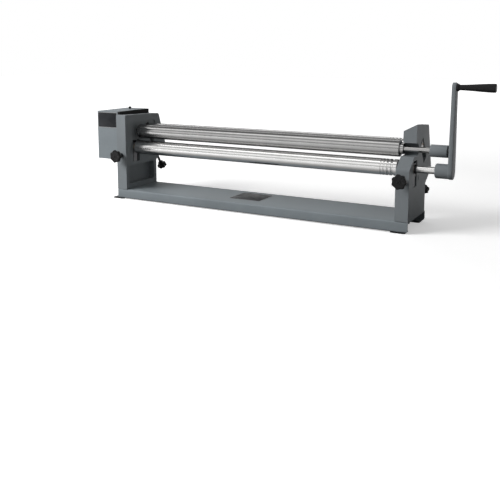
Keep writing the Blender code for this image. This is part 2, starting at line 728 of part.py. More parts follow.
def gear_nut(name, bore_radius, axis, finish, parent):
    """The washer-faced hexagon nut that keeps a gear on its journal."""
    bore = bore_radius + CLEAR
    low = GEAR_OUTER_X - CLEAR - WASHER_LENGTH - GEAR_NUT_LENGTH
    high = GEAR_OUTER_X - CLEAR
    neck = high - WASHER_LENGTH
    stations = [(low, bore, False), (low, GEAR_NUT_RADIUS, True), (neck, GEAR_NUT_RADIUS, True),
                (neck, WASHER_RADIUS, False), (high, WASHER_RADIUS, False), (high, bore, False)]
    return place_mesh(name, hexagon_mesh(stations, 2 * BOLT_SIDES, True), finish, parent,
                      Matrix.Translation((0, *axis)))


def bush(name, low, high, radius, journal_radius, axis, finish, parent):
    """A plain bearing bush, pressed into its block and bored for the journal."""
    bore = journal_radius + CLEAR
    ring = [(low, radius), (high, radius), (high, bore), (low, bore)]
    return place_mesh(name, turned_mesh(ring, ROUND, True), finish, parent, Matrix.Translation((0,
                                                                                                *axis)))


def front_block(side_name, side, iron, bronze, parent):
    """A bearing block that rides in the front window on a sloping foot, and its bush."""
    half = BLOCK_WIDTH / 2
    top = LOWER_AXIS_Z + BLOCK_TOP
    foot = LOWER_AXIS_Z - BLOCK_BOTTOM
    outline = [(LOWER_AXIS_Y - half, foot + half * WEDGE_SLOPE), (LOWER_AXIS_Y + half,
                                                                  foot - half * WEDGE_SLOPE),
               (LOWER_AXIS_Y + half, top), (LOWER_AXIS_Y - half, top)]
    ends = sorted((side * (INNER_X + CASTING_EDGE), side * (OUTER_X - CASTING_EDGE)))
    axis = (LOWER_AXIS_Y, LOWER_AXIS_Z)
    piece = place_mesh("front_block_" + side_name, prism_mesh(outline, *ends), iron, parent)
    cutter(piece, rod_mesh(FRONT_BUSH_RADIUS + CLEAR, ends[0] - OVERRUN, ends[1] + OVERRUN, ROUND),
           Matrix.Translation((0, *axis)))
    bush("front_bush_" + side_name, *ends, FRONT_BUSH_RADIUS, JOURNAL_RADIUS, axis, bronze, parent)


def front_wedge(name, side, iron, parent):
    """The wedge nut under a front block. Its screw pushes it back and lifts the block."""
    start = WINDOW_FRONT + RUNNING + FRONT_SCREW_RING + RUNNING
    end = WEDGE_END

    def crest(y):
        return LOWER_AXIS_Z - BLOCK_BOTTOM - CLEAR - WEDGE_SLOPE * (y - LOWER_AXIS_Y)

    outline = [(start, WEDGE_FLOOR + CLEAR), (end, WEDGE_FLOOR + CLEAR), (end, crest(end)), (start,
                                                                                             crest(start))]
    ends = sorted((side * (INNER_X + CASTING_EDGE), side * (OUTER_X - CASTING_EDGE)))
    piece = place_mesh(name, prism_mesh(outline, *ends), iron, parent)
    cutter(piece, rod_mesh(FRONT_SCREW_RADIUS + CLEAR, start - OVERRUN, end + OVERRUN),
           along((side * MIDDLE_X, 0, FRONT_SCREW_Z), (0, 1, 0)))
    return piece


def rear_block(side_name, side, iron, bronze, parent):
    """A square bearing block that rides in the slanted rear window, and its bush."""
    half = REAR_BLOCK / 2
    outline = [rear_frame(p) for p in ((-half, -half), (-half, half), (half, half), (half, -half))]
    ends = sorted((side * (INNER_X + CASTING_EDGE), side * (OUTER_X - CASTING_EDGE)))
    axis = (REAR_AXIS_Y, REAR_AXIS_Z)
    piece = place_mesh("rear_block_" + side_name, prism_mesh(outline, *ends), iron, parent)
    cutter(piece, rod_mesh(REAR_BUSH_RADIUS + CLEAR, ends[0] - OVERRUN, ends[1] + OVERRUN, ROUND),
           Matrix.Translation((0, *axis)))
    bush("rear_bush_" + side_name, *ends, REAR_BUSH_RADIUS, REAR_JOURNAL_RADIUS, axis, bronze, parent)


def star_knob(name, place, direction, knob_radius, screw_radius, finish, parent):
    """A lobed knob on its hub. It starts at place, with the hub first, and is bored for its screw."""
    bm = bmesh.new()
    count = KNOB_LOBES * KNOB_STEPS

    def ring(x, radius, depth):
        made = []
        for k in range(count):
            turn = 2 * math.pi * k / count
            reach = radius - depth * (1 - math.cos(KNOB_LOBES * turn)) / 2
            made.append(bm.verts.new((x, reach * math.cos(turn), reach * math.sin(turn))))
        return made

    star = KNOB_HUB_LENGTH
    end = KNOB_HUB_LENGTH + KNOB_HEIGHT
    ease = KNOB_ROUNDING
    soft = KNOB_ROUNDING * KNOB_EASE_SHARE
    rings = [ring(0, KNOB_HUB_RADIUS, 0), ring(star, KNOB_HUB_RADIUS, 0),
             ring(star, knob_radius - ease, KNOB_LOBE_DEPTH), ring(star + soft, knob_radius - soft,
                                                                   KNOB_LOBE_DEPTH),
             ring(star + ease, knob_radius, KNOB_LOBE_DEPTH), ring(end - ease, knob_radius,
                                                                   KNOB_LOBE_DEPTH),
             ring(end - soft, knob_radius - soft, KNOB_LOBE_DEPTH), ring(end, knob_radius - ease,
                                                                         KNOB_LOBE_DEPTH)]
    for first, second in zip(rings, rings[1:]):
        for k in range(count):
            n = (k + 1) % count
            bm.faces.new((first[k], first[n], second[n], second[k]))
    bm.faces.new(rings[0])
    bm.faces.new(rings[-1])
    matrix = along(place, direction)
    piece = place_mesh(name, bm, finish, parent, matrix)
    cutter(piece, rod_mesh(screw_radius + CLEAR, -OVERRUN, KNOB_INSERT_DEPTH), matrix)
    return piece


def front_screw(side_name, side, steel, black, parent):
    """The front adjusting screw. A collar outside and a ring inside hold it in the housing's wall."""
    knob_start = FRONT_Y - FRONT_KNOB_REACH + KNOB_HUB_LENGTH + KNOB_HEIGHT
    face = FRONT_Y - RUNNING
    inside = WINDOW_FRONT + RUNNING
    tip = WEDGE_END - FRONT_SCREW_TIP_GAP
    thin = FRONT_SCREW_RADIUS
    thick = FRONT_SCREW_COLLAR_RADIUS
    profile = [(knob_start - KNOB_INSERT_DEPTH + CLEAR, thin), (knob_start + CLEAR, thin),
               (knob_start + CLEAR, thick),
               (face, thick), (face, thin), (inside, thin), (inside, thick), (inside + FRONT_SCREW_RING,
                                                                              thick),
               (inside + FRONT_SCREW_RING, thin), (tip, thin)]
    base = Vector((side * MIDDLE_X, 0, FRONT_SCREW_Z))
    place_mesh("front_screw_" + side_name, turned_mesh(profile, SMALL_ROUND), steel, parent, along(base,
                                                                                                   (0, 1,
                                                                                                    0)))
    star_knob("front_knob_" + side_name, base + Vector((0, knob_start, 0)), (0, -1, 0), FRONT_KNOB_RADIUS,
              FRONT_SCREW_RADIUS, black, parent)


def rear_screw(side_name, side, steel, black, parent):
    """The rear adjusting screw, which threads through the housing and pushes its block."""
    centre = Vector((side * MIDDLE_X, REAR_AXIS_Y, REAR_AXIS_Z))
    head = REAR_BLOCK / 2 + CLEAR
    knob_start = head + REAR_SCREW_LENGTH - KNOB_HUB_LENGTH - KNOB_HEIGHT
    end = knob_start + KNOB_INSERT_DEPTH - CLEAR
    place_mesh("rear_screw_" + side_name,
               turned_mesh(chamfered(head, end, REAR_SCREW_RADIUS, ROLL_EDGE), SMALL_ROUND), steel,
               parent,
               along(centre, -REAR_DIRECTION))
    star_knob("rear_knob_" + side_name, centre - REAR_DIRECTION * knob_start, -REAR_DIRECTION,
              REAR_KNOB_RADIUS,
              REAR_SCREW_RADIUS, black, parent)


def release_sleeve(paint, black, parent):
    """The sliding sleeve on the top roll's right journal, and its end cap."""
    start = OUTER_X + SLEEVE_START
    end = start + SLEEVE_LENGTH
    bore = TOP_JOURNAL_RADIUS + CLEAR
    place = Matrix.Translation((0, TOP_AXIS_Y, TOP_AXIS_Z))
    outer = chamfered(start, end, SLEEVE_RADIUS, SLEEVE_CHAMFER)
    place_mesh("release_sleeve", turned_mesh(outer + [(end, bore), (start, bore)], ROUND, True), paint,
               parent, place)
    low = end + CLEAR
    high = low + CAP_LENGTH
    cap = [(low, CAP_RADIUS), (high - SLEEVE_CHAMFER, CAP_RADIUS), (high, CAP_RADIUS - SLEEVE_CHAMFER),
           (high, bore), (low, bore)]
    place_mesh("sleeve_cap", turned_mesh(cap, ROUND, True), black, parent, place)


def arm_outline():
    """The tapered crank arm: a large round end at the hub, a small one at the grip, tangent sides."""
    lean = math.asin((ARM_HUB_RADIUS - ARM_TIP_RADIUS) / ARM_THROW)
    points = []
    for centre, radius, start, end in ((0, ARM_HUB_RADIUS, math.pi - lean, 2 * math.pi + lean),
                                       (ARM_THROW, ARM_TIP_RADIUS, lean, math.pi - lean)):
        for k in range(13):
            turn = start + (end - start) * k / 12
            points.append(Vector((radius * math.cos(turn), centre + radius * math.sin(turn))))
    return points


def crank(paint, steel, parent):
    """The cast crank: a round hub bored for the shaft, and a flat tapered arm."""
    start = OUTER_X + HUB_START
    end = start + HUB_LENGTH
    place = Matrix.Translation((0, LOWER_AXIS_Y, LOWER_AXIS_Z))
    piece = place_mesh("crank_arm", prism_mesh(arm_outline(), end, end + ARM_THICKNESS), paint, parent,
                       place)
    bevel(piece, ARM_EDGE, 2, 60)
    hub = [(start, HUB_RADIUS - HUB_CHAMFER), (start + HUB_CHAMFER, HUB_RADIUS), (end + ARM_THICKNESS / 2,
                                                                                  HUB_RADIUS)]
    cutter(piece, turned_mesh(hub), place, "UNION")
    cutter(piece, rod_mesh(JOURNAL_RADIUS + CLEAR, start - OVERRUN, OUTER_X + CRANK_SHAFT_REACH + CLEAR,
                           ROUND), place)
    cutter(piece, rod_mesh(SPINDLE_RADIUS + CLEAR, end - OVERRUN, end + ARM_THICKNESS + OVERRUN),
           Matrix.Translation((0, LOWER_AXIS_Y, LOWER_AXIS_Z + ARM_THROW)))
    screw_x = start + HUB_LENGTH / 3
    cutter(piece, rod_mesh(SET_SCREW_RADIUS + CLEAR, 0, HUB_RADIUS + OVERRUN),
           along((screw_x, LOWER_AXIS_Y, LOWER_AXIS_Z), (0, 0, -1)))
    place_mesh("crank_set_screw", rod_mesh(SET_SCREW_RADIUS, JOURNAL_RADIUS + CLEAR, HUB_RADIUS - CLEAR),
               steel, parent,
               along((screw_x, LOWER_AXIS_Y, LOWER_AXIS_Z), (0, 0, -1)))
    return piece


def shaft_collar(steel, parent):
    low = OUTER_X + RUNNING
    high = low + COLLAR_LENGTH
    bore = JOURNAL_RADIUS + CLEAR
    ring = [(low, COLLAR_RADIUS), (high - ROLL_EDGE, COLLAR_RADIUS), (high, COLLAR_RADIUS - ROLL_EDGE),
            (high, bore),
            (low, bore)]
    return place_mesh("shaft_collar", turned_mesh(ring, ROUND, True), steel, parent,
                      Matrix.Translation((0, LOWER_AXIS_Y, LOWER_AXIS_Z)))


def grip_start():
    return OUTER_X + HUB_START + HUB_LENGTH + ARM_THICKNESS + CLEAR


def handle_spindle(steel, black, parent):
    """The shoulder bolt that the grip turns on, and the collar at its root."""
    place = Matrix.Translation((0, LOWER_AXIS_Y, LOWER_AXIS_Z + ARM_THROW))
    arm_inner = OUTER_X + HUB_START + HUB_LENGTH
    end = grip_start() + GRIP_COLLAR_LENGTH + CLEAR + GRIP_LENGTH - CLEAR
    head = end - SPINDLE_HEAD_LENGTH
    place_mesh("handle_spindle",
               turned_mesh([(arm_inner + CLEAR, SPINDLE_RADIUS), (head, SPINDLE_RADIUS),
                            (head, SPINDLE_HEAD_RADIUS), (end, SPINDLE_HEAD_RADIUS)], SMALL_ROUND),
               steel, parent, place)
    low = grip_start()
    high = low + GRIP_COLLAR_LENGTH
    bore = SPINDLE_RADIUS + CLEAR
    place_mesh("handle_collar",
               turned_mesh([(low, GRIP_COLLAR_RADIUS), (high, GRIP_COLLAR_RADIUS), (high, bore), (low,
                                                                                                  bore)],
                           SMALL_ROUND, True), black, parent, place)


def crank_grip(black, parent):
    """The flared grip, bored for its spindle and counterbored for the spindle's head."""
    low = grip_start() + GRIP_COLLAR_LENGTH + CLEAR
    high = low + GRIP_LENGTH
    bore = SPINDLE_RADIUS + CLEAR
    seat = high - SPINDLE_HEAD_LENGTH - 2 * CLEAR
    profile = []
    for k in range(9):
        share = k / 8
        flare = share * share * (3 - 2 * share)
        profile.append((low + (GRIP_LENGTH - GRIP_ROUNDING) * share,
                        GRIP_NECK_RADIUS + (GRIP_END_RADIUS - GRIP_NECK_RADIUS) * flare))
    eased = GRIP_ROUNDING * GRIP_EASE_SHARE
    profile += [(high - eased, GRIP_END_RADIUS - eased),
                (high, GRIP_END_RADIUS - GRIP_ROUNDING), (high, SPINDLE_HEAD_RADIUS + CLEAR),
                (seat, SPINDLE_HEAD_RADIUS + CLEAR), (seat, bore), (low, bore)]
    return place_mesh("crank_grip", turned_mesh(profile, 24, True), black, parent,
                      Matrix.Translation((0, LOWER_AXIS_Y, LOWER_AXIS_Z + ARM_THROW)))


def gear_guard(paint):
    """The sheet box round the gears, open above for its lid and open towards the housing."""
    inner = OUTER_X + CLEAR
    piece = place_mesh("gear_guard", box_mesh((-GUARD_OUTER_X, GUARD_FRONT_Y, GUARD_BOTTOM),
                                              (-inner, GUARD_BACK_Y, GUARD_TOP)), paint)
    cutter(piece, box_mesh((-GUARD_OUTER_X + GUARD_SHEET, GUARD_FRONT_Y + GUARD_SHEET,
                            GUARD_BOTTOM + GUARD_SHEET),
                           (-inner - GUARD_SHEET, GUARD_BACK_Y - GUARD_SHEET, GUARD_TOP + OVERRUN)))
    cutter(piece, box_mesh((-inner - GUARD_SHEET - OVERRUN, GUARD_FRONT_Y + GUARD_FLANGE,
                            GUARD_BOTTOM + GUARD_FLANGE),
                           (-inner + OVERRUN, GUARD_BACK_Y - GUARD_FLANGE, GUARD_TOP + OVERRUN)))
    for place in guard_screw_places():
        cutter(piece, rod_mesh(GUARD_SCREW_RADIUS + CLEAR, -inner - GUARD_SHEET - OVERRUN,
                               -inner + OVERRUN, BOLT_SIDES),
               Matrix.Translation((0, *place)))
    return piece


def guard_screw_places():
    side = GUARD_SHEET + GUARD_SCREW_HEAD + CLEAR
    return [(y, z) for y in (GUARD_FRONT_Y + side, GUARD_BACK_Y - side)
            for z in (GUARD_BOTTOM + GUARD_FLANGE + GUARD_SCREW_HEAD, LEFT_TOP_REAR - GUARD_FLANGE * 2)]


def guard_screws(housing, steel):
    """Four round-headed screws through the guard's flange into the left housing."""
    seat = -OUTER_X - CLEAR - GUARD_SHEET - CLEAR
    tip = -OUTER_X + GUARD_FLANGE - 2 * CLEAR
    radius = GUARD_SCREW_RADIUS
    head = GUARD_SCREW_HEAD
    crown = [(seat - radius, head * GUARD_SCREW_CROWN_SHARE), (seat - radius / 2, head), (seat, head)]
    profile = crown + [(seat, radius), (tip, radius)]
    first = place_mesh("guard_screw_1", turned_mesh(profile, BOLT_SIDES), steel)
    for number, (y, z) in enumerate(guard_screw_places(), 1):
        if number == 1:
            first.location = (0, y, z)
        else:
            repeat(first, "guard_screw_%d" % number, (0, y, z))
        cutter(housing, rod_mesh(radius + CLEAR, -OUTER_X - OVERRUN, -OUTER_X + GUARD_FLANGE, BOLT_SIDES),
               Matrix.Translation((0, y, z)))


def guard_lid(paint):
    """The lid: a flat sheet with short lips that drop inside the guard's walls."""
    low = GUARD_TOP + CLEAR
    inner = OUTER_X + CLEAR
    piece = place_mesh("guard_lid", box_mesh((-GUARD_OUTER_X, GUARD_FRONT_Y, low - LID_LIP),
                                             (-inner, GUARD_BACK_Y, low + GUARD_SHEET)), paint)
    wall = GUARD_SHEET + CLEAR
    ring_low = (-GUARD_OUTER_X + wall, GUARD_FRONT_Y + wall, low - LID_LIP - OVERRUN)
    ring_high = (-inner - wall, GUARD_BACK_Y - wall, low)
    outline = [(-GUARD_OUTER_X - OVERRUN, GUARD_FRONT_Y - OVERRUN), (-inner + OVERRUN,
                                                                     GUARD_BACK_Y + OVERRUN)]
    skirt = box_mesh((outline[0][0], outline[0][1], ring_low[2]), (outline[1][0], outline[1][1], low))
    tool = cutter(piece, skirt)
    cutter(tool, box_mesh(ring_low, (ring_high[0], ring_high[1], low + OVERRUN)))
    cutter(piece, box_mesh((ring_low[0] + GUARD_SHEET, ring_low[1] + GUARD_SHEET, ring_low[2]),
                           (ring_high[0] - GUARD_SHEET, ring_high[1] - GUARD_SHEET, low)))
    return piece


def lid_screw(black):
    """The small thumb screw on the lid."""
    low = GUARD_TOP + GUARD_SHEET + 2 * CLEAR
    radius = LID_SCREW_RADIUS
    profile = [(low + radius * height, radius * width) for height, width in LID_SCREW_SHARES]
    return place_mesh("lid_screw", turned_mesh(profile, SMALL_ROUND), black, None,
                      along((LID_SCREW_INSET - GUARD_OUTER_X, LID_SCREW_Y, 0), (0, 0, 1)))


def guard_seal(rubber):
    """The rubber strip between the lid and the top of the left housing."""
    slope = (LEFT_TOP_FRONT - LEFT_TOP_REAR) / (TOP_REAR_Y - FRONT_Y)

    def top_of_housing(y):
        return LEFT_TOP_FRONT - slope * (y - FRONT_Y)

    front = GUARD_FRONT_Y
    back = GUARD_BACK_Y
    outline = [(front, top_of_housing(front) + CLEAR), (back, top_of_housing(back) + CLEAR),
               (back, GUARD_TOP + GUARD_SHEET), (front, GUARD_TOP + GUARD_SHEET)]
    return place_mesh("guard_seal", prism_mesh(outline, -OUTER_X, -OUTER_X + SEAL_DEPTH), rubber)


def centre_on_origin():
    """Moves the whole machine so that the origin is under the middle of its bounding box."""
    bpy.context.view_layer.update()
    pieces = [item for item in bpy.data.objects if item.type == "MESH" and not item.hide_render]
    corners = [item.matrix_world @ Vector(corner) for item in pieces for corner in item.bound_box]
    low = Vector([min(corner[axis] for corner in corners) for axis in range(3)])
    high = Vector([max(corner[axis] for corner in corners) for axis in range(3)])
    shift = Vector(((low.x + high.x) / 2, (low.y + high.y) / 2, low.z))
    for item in bpy.data.objects:
        if item.parent is None:
            item.location -= shift


def build():
    clear_scene()
    paint = material("grey enamel", (0.24, 0.26, 0.28), 0.45, 0.0)
    steel = material("ground steel", (0.62, 0.62, 0.61), 0.22, 1.0)
    dark = material("blackened steel", (0.06, 0.06, 0.065), 0.45, 0.8)
    iron = material("cast iron", (0.16, 0.165, 0.17), 0.6, 0.4)
    bronze = material("bronze", (0.45, 0.30, 0.14), 0.4, 1.0)
    black = material("black plastic", (0.015, 0.015, 0.016), 0.4, 0.0)
    rubber = material("black rubber", (0.012, 0.012, 0.012), 0.8, 0.0)

    base_channel(paint)
    mounting_feet(paint)
    housing_bolts(dark)
    left = left_housing(paint)
    right_housing(paint)
    swivel_plug(dark)
    gear_guard(paint)
    guard_screws(left, dark)
    guard_lid(paint)
    guard_seal(rubber)
    lid_screw(black)

    top_swing = axis_empty("top_swing", SWING_CENTRE)
    swivel_barrel(bronze, top_swing)
    top_spin = axis_empty("top_spin", (0, TOP_AXIS_Y, TOP_AXIS_Z))
    top_roll(steel, top_spin)
    mesh_line = math.atan2(LOWER_AXIS_Z - TOP_AXIS_Z, LOWER_AXIS_Y - TOP_AXIS_Y)
    half_tooth = math.pi / GEAR_TEETH
    spur_gear("top_gear", TOP_JOURNAL_RADIUS, mesh_line + half_tooth - GEAR_BACKLASH, (TOP_AXIS_Y,
                                                                                       TOP_AXIS_Z), iron,
              top_spin)
    gear_nut("top_gear_nut", TOP_JOURNAL_RADIUS, (TOP_AXIS_Y, TOP_AXIS_Z), dark, top_spin)
    release_sleeve(paint, black, axis_empty("sleeve_slide", (0, TOP_AXIS_Y, TOP_AXIS_Z)))

    front_carriage = axis_empty("front_carriage", (0, LOWER_AXIS_Y, LOWER_AXIS_Z))
    rear_carriage = axis_empty("rear_carriage", (0, REAR_AXIS_Y, REAR_AXIS_Z))
    for side_name, side in (("left", -1), ("right", 1)):
        front_block(side_name, side, iron, bronze, front_carriage)
        front_wedge("front_wedge_" + side_name, side, iron,
                    axis_empty("front_wedge_slide_" + side_name, (side * MIDDLE_X, LOWER_AXIS_Y,
                                                                  FRONT_SCREW_Z)))
        front_screw(side_name, side, dark, black,
                    axis_empty("front_screw_turn_" + side_name, (side * MIDDLE_X, FRONT_Y,
                                                                 FRONT_SCREW_Z)))
        rear_block(side_name, side, iron, bronze, rear_carriage)
        rear_screw(side_name, side, dark, black,
                   axis_empty("rear_screw_turn_" + side_name, (side * MIDDLE_X, REAR_AXIS_Y,
                                                               REAR_AXIS_Z)))
    rear_roll(steel, axis_empty("rear_spin", (0, REAR_AXIS_Y, REAR_AXIS_Z)))

    lower_spin = axis_empty("lower_spin", (0, LOWER_AXIS_Y, LOWER_AXIS_Z))
    lower_roll(steel, lower_spin)
    spur_gear("lower_gear", JOURNAL_RADIUS, mesh_line + math.pi, (LOWER_AXIS_Y, LOWER_AXIS_Z), iron,
              lower_spin)
    gear_nut("lower_gear_nut", JOURNAL_RADIUS, (LOWER_AXIS_Y, LOWER_AXIS_Z), dark, lower_spin)
    shaft_collar(dark, lower_spin)
    crank(paint, dark, lower_spin)
    handle_spindle(steel, black, lower_spin)
    crank_grip(black, axis_empty("grip_spin", (0, LOWER_AXIS_Y, LOWER_AXIS_Z + ARM_THROW)))
    centre_on_origin()


build()
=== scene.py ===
"""Looks of the bench slip roll: round pieces, eased edges, materials, plates, light and camera."""
import json
import math

import bmesh
import bpy
from mathutils import Matrix, Vector


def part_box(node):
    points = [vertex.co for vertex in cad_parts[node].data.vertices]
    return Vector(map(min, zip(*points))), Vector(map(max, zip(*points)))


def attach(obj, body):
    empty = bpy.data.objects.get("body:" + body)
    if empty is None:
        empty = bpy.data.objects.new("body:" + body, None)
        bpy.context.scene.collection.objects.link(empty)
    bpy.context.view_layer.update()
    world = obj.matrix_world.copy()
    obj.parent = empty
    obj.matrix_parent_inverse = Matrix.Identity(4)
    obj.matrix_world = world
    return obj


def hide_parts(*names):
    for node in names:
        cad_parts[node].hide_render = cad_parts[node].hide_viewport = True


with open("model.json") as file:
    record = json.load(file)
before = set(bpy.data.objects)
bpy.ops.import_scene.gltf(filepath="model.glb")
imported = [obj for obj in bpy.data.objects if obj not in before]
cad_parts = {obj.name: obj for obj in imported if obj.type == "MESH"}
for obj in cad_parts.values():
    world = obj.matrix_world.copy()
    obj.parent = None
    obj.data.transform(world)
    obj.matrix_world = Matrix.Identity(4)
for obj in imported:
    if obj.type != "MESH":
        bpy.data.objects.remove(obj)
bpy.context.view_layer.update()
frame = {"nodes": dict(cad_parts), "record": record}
record = frame["record"]
body_of = {n: body for body, nodes in record["behaviour"]["bodies"].items() for n in nodes}
slot_of = {entry["node"]: entry["material_slot"] for entry in record["subparts"]}


def box_middle(node):
    low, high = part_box(node)
    return (low + high) / 2


base_middle = box_middle("base_channel")
MID_X = base_middle.x

# Rolls, in metres as in the CAD
HALF_ROLL = 0.635
ROLL_RADIUS = 0.0325
ROLL_EDGE = 0.002
JOURNAL_RADII = {"lower_roll": 0.0138, "top_roll": 0.0112, "rear_roll": 0.0125}
JOURNAL_EDGE = 0.0018
SHOULDER_RADIUS = 0.0215
SHOULDER_LENGTH = 0.014
SHOULDER_EDGE = 0.0008
GROOVE_RADII = (0.0024, 0.0032, 0.0040, 0.0048)
GROOVE_LAND = 0.0075
GROOVE_MARGIN = 0.016

# Release sleeve with its cap, and the crank's grip
SLEEVE_RADIUS = 0.024
SLEEVE_BORE = 0.0115
SLEEVE_EDGE = 0.002
CAP_RADIUS = 0.0235
GRIP_NECK = 0.0105
GRIP_FLARE = 0.006
GRIP_NOSE = 0.004
GRIP_BORE = 0.0063
GRIP_RECESS_RADIUS = 0.0098
GRIP_RECESS_DEPTH = 0.0066

# Star knobs
FRONT_KNOB_RADIUS = 0.030
REAR_KNOB_RADIUS = 0.024
LOBES = 7
LOBE_DEPTH = 0.0036
HEAD_LENGTH = 0.017
HEAD_EDGE = 0.005
HUB_LENGTH = 0.013
HUB_RADIUS = 0.0125
HUB_EDGE = 0.0008
HUB_FILLET = 0.0005
HEAD_RIM = 0.011
RIM_LOBE_SHARE = 0.6
DISH_DEPTH = 0.0012
DISH_SLOPE = 0.002
BOSS_RADIUS = 0.0085
BOSS_EDGE = 0.0007
SOCKET_RADIUS = 0.0035
SOCKET_SLOPE = 0.0005
SOCKET_DEPTH = 0.0022

# Eased edges: widths of the bevels, and how far from the top roll's axis the housing stays sharp
EASED_WIDTHS = {"left_housing": 0.0012, "right_housing": 0.0012, "base_channel": 0.0005,
                "gear_guard": 0.0005, "guard_lid": 0.0006, "crank_arm": 0.0008,
                # The guard seal is a black strip along the guard's top where its inside lies in
                # shade above the casting, a painted shade
                "guard_seal": 0.0008}
EASED_WIDTH = 0.0003
EASED_ANGLE = math.radians(40)
SWIVEL_REACH = 0.034
MERGE_DISTANCE = 0.00001
FLAT_ANGLE = math.radians(0.6)

# Bare plates: width and height, corner radii of the rim and the face, and their places
PLATE_RIM = 0.0008
PLATE_FACE = 0.0003
PLATE_BORDER = 0.003
PLATE_WALL_SHARE = 0.7
PLATE_EDGE_SHARE = 0.4
BASE_PLATE_SIZE = (0.154, 0.142)
BASE_PLATE_CORNERS = (0.007, 0.005)
BASE_PLATE_LEFT = 0.053
BASE_PLATE_BACK = 0.1375
GUARD_PLATE_SIZE = (0.116, 0.074)
GUARD_PLATE_CORNERS = (0.004, 0.003)
GUARD_PLATE_RIGHT = 0.061
GUARD_PLATE_DOWN = 0.0385

# Steps round or along the finer shapes
ROUND = 96
GRIP_ROUND = 64
LOBE_ROUND = 14
EDGE_STEPS = 3
HEAD_EDGE_STEPS = 5
GROOVE_STEPS = 12
GRIP_STEPS = 24
GRIP_NOSE_STEPS = 6
PLATE_CORNER_STEPS = 6
BEVEL_STEPS = 2

# Degrees between faces up to which each kind of piece is shaded smooth
EASED_SMOOTH = 35
TURNED_SMOOTH = 32
KNOB_SMOOTH = 40
PLATE_SMOOTH = 50

# Camera at the photograph's angle, its place measured from the base's middle
CAMERA_AZIMUTH = math.radians(28.81)
CAMERA_ELEVATION = math.radians(8.56)
CAMERA_PLACE = (1.4267, -2.6888, 0.6657)
CAMERA_SENSOR = 36
CAMERA_LENS = 50.45
CAMERA_SHIFT = -0.186
CAMERA_CLIP = (0.05, 60)


def new_object(name, data):
    made = bpy.data.objects.new(name, data)
    bpy.context.scene.collection.objects.link(made)
    return made


def place_camera():
    data = bpy.data.cameras.new("camera")
    data.sensor_width = CAMERA_SENSOR
    data.lens = CAMERA_LENS
    data.shift_y = CAMERA_SHIFT
    data.clip_start, data.clip_end = CAMERA_CLIP
    camera = new_object("camera", data)
    camera.location = base_middle + Vector(CAMERA_PLACE)
    camera.rotation_euler = (math.pi / 2 - CAMERA_ELEVATION, 0, CAMERA_AZIMUTH)
    bpy.context.scene.camera = camera


# Materials: the range that most of a noise's values lie in, and how far a seed of 1 moves it
NOISE_RANGE = (0.3, 0.7)
SEED_SHIFT = (1.0, 0.7, 1.3)


def shade(colour, share, lift=0.0):
    """The colour made darker or paler, with full alpha."""
    return tuple(min(1, c * share + lift) for c in colour) + (1,)


class Nodes:
    """A node tree under construction."""

    def __init__(self, tree):
        self.tree = tree

    def feed(self, socket, value):
        if isinstance(value, bpy.types.NodeSocket):
            self.tree.links.new(value, socket)
        else:
            socket.default_value = value

    def add(self, kind, inputs=None, **settings):
        node = self.tree.nodes.new(kind)
        for key, value in settings.items():
            setattr(node, key, value)
        for key, value in (inputs or {}).items():
            self.feed(node.inputs[key], value)
        return node

    def maths(self, operation, first, second=0.0):
        return self.add("ShaderNodeMath", {0: first, 1: second}, operation=operation).outputs[0]

    def spread(self, value, low, high, from_low=NOISE_RANGE[0], from_high=NOISE_RANGE[1]):
        """The value, mapped from its own range to low and high and held between them."""
        made = self.add("ShaderNodeMapRange",
                        {"Value": value, "From Min": from_low, "From Max": from_high,
                         "To Min": low, "To Max": high})
        return made.outputs["Result"]


class Shader(Nodes):
    """A material under construction."""

    def __init__(self, name):
        self.material = bpy.data.materials.new(name)
        self.material.use_nodes = True
        super().__init__(self.material.node_tree)
        self.surface = self.tree.nodes["Principled BSDF"]
        self.place = self.add("ShaderNodeTexCoord").outputs["Object"]

    def set(self, **values):
        for key, value in values.items():
            self.feed(self.surface.inputs[key.replace("_", " ")], value)

    def noise(self, scale, detail=3, roughness=0.5, stretch=(1, 1, 1), seed=0.0):
        mapping = self.add("ShaderNodeMapping",
                           {"Vector": self.place, "Scale": stretch,
                            "Location": [seed * shift for shift in SEED_SHIFT]})
        made = self.add("ShaderNodeTexNoise", {"Vector": mapping.outputs["Vector"], "Scale": scale,
                                               "Detail": detail, "Roughness": roughness})
        return made.outputs["Fac"]

    def blend(self, share, first, second):
        made = self.add("ShaderNodeMix", {0: share, 6: first, 7: second}, data_type="RGBA")
        return made.outputs[2]

    def bump(self, height, strength, distance, normal=None):
        made = self.add("ShaderNodeBump",
                        {"Height": height, "Strength": strength, "Distance": distance})
        if normal is not None:
            self.feed(made.inputs["Normal"], normal)
        return made.outputs["Normal"]

    def edges(self, radius):
        """One along convex and concave edges, nought on flat faces."""
        soft = self.add("ShaderNodeBevel", {"Radius": radius}, samples=6).outputs["Normal"]
        flat = self.add("ShaderNodeNewGeometry").outputs["Normal"]
        alike = self.add("ShaderNodeVectorMath", {0: soft, 1: flat}, operation="DOT_PRODUCT")
        bent = self.maths("SUBTRACT", 1.0, alike.outputs["Value"])
        return self.spread(bent, 0, 1, from_low=0.03, from_high=0.25)


